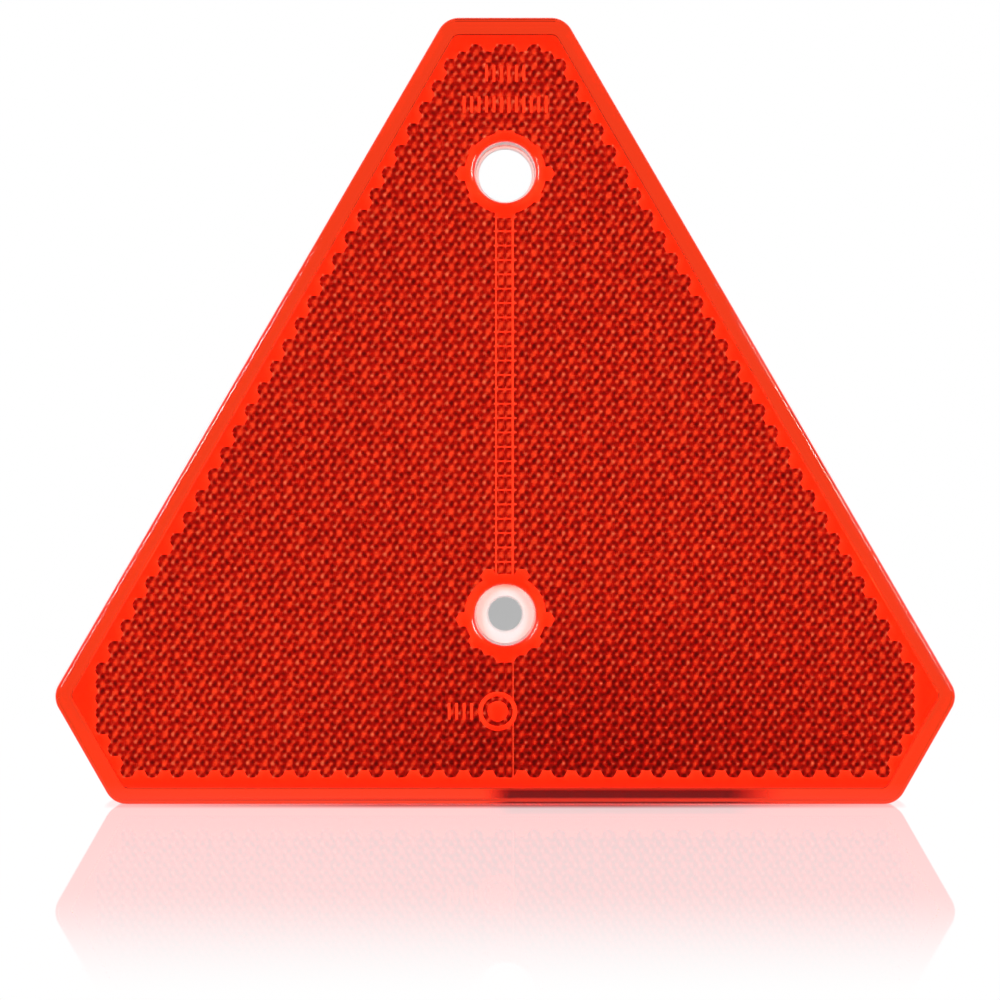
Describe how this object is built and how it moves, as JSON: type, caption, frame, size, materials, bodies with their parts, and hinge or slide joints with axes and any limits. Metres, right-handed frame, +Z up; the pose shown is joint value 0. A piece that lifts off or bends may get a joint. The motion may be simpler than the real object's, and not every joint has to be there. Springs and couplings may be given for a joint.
{
  "type": "triangular trailer reflector",
  "caption": "Red triangular rear reflector for a trailer: a clear lens with moulded prisms and two screw recesses, closed by a white back plate.",
  "frame": {"origin": "middle of the lower edge, at half the thickness", "axes": "+Z up from the lower edge to the cut-off top corner, +X to the right as seen from the front, the smooth face looks towards -Y and the back plate towards +Y"},
  "size_m": [0.156, 0.008, 0.1364],
  "materials": {
    "clear_red_acrylic": "clear red, polished",
    "white_plastic": "satin white"
  },
  "bodies": {
    "root": {"lens": "clear_red_acrylic", "back_plate": "white_plastic"}
  },
  "joints": []
}
